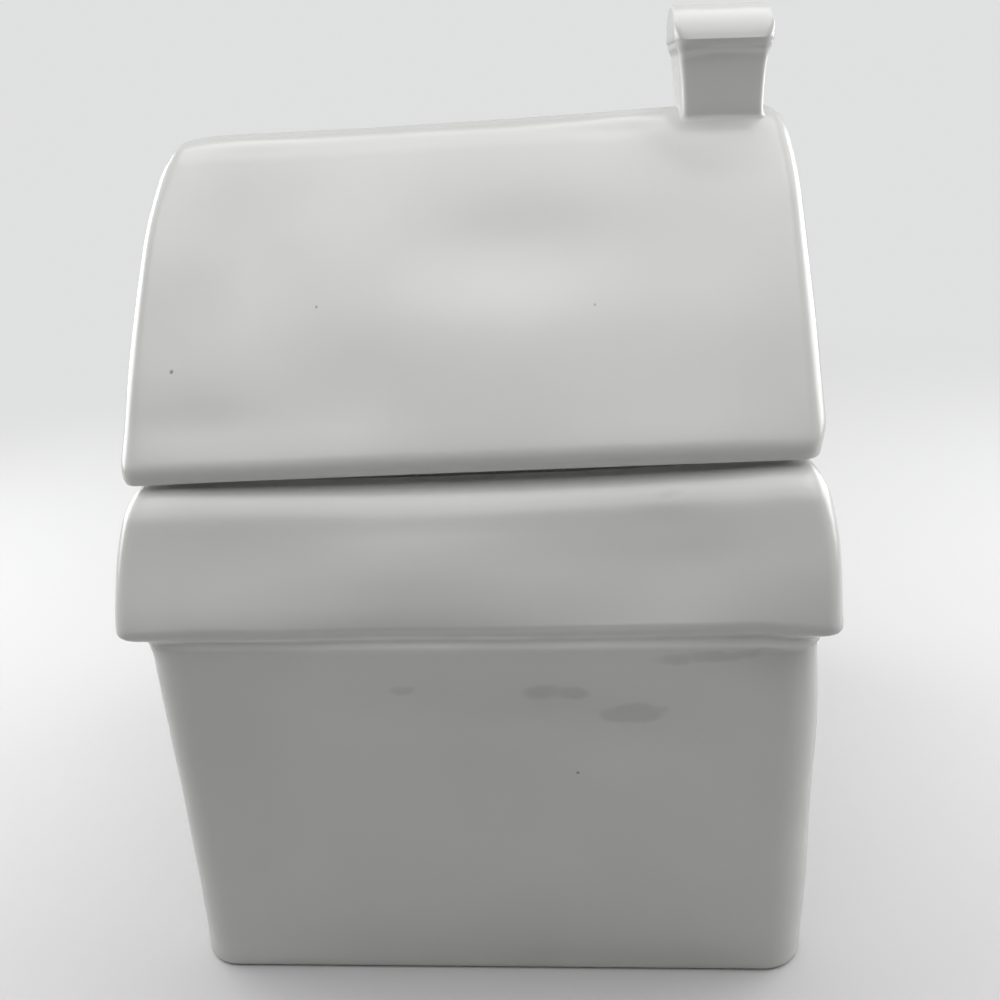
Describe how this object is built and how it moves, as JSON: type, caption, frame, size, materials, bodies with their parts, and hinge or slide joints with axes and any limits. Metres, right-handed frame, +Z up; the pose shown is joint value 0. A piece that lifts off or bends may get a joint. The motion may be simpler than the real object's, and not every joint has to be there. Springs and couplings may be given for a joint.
{
  "type": "cookie jar",
  "caption": "House-shaped glazed ceramic cookie jar: square body with eaves, lift-off gabled roof lid and a chimney knob on the ridge.",
  "frame": {"origin": "centre of the foot, at the height of the surface the jar stands on", "axes": "+Z up, +X along the ridge towards the chimney end, -Y towards the viewer of the long front side"},
  "size_m": [0.172, 0.1756, 0.2373],
  "materials": {
    "body_glaze": "gloss",
    "lid_glaze": "gloss"
  },
  "bodies": {
    "jar": {"jar_body": "body_glaze"},
    "lid": {"roof_lid": "lid_glaze", "chimney": "lid_glaze"}
  },
  "joints": [
    {"name": "lid_lift", "type": "slide", "parent": "jar", "child": "lid", "axis": [0, 0, 1], "range_m": [0, 0.12]}
  ]
}
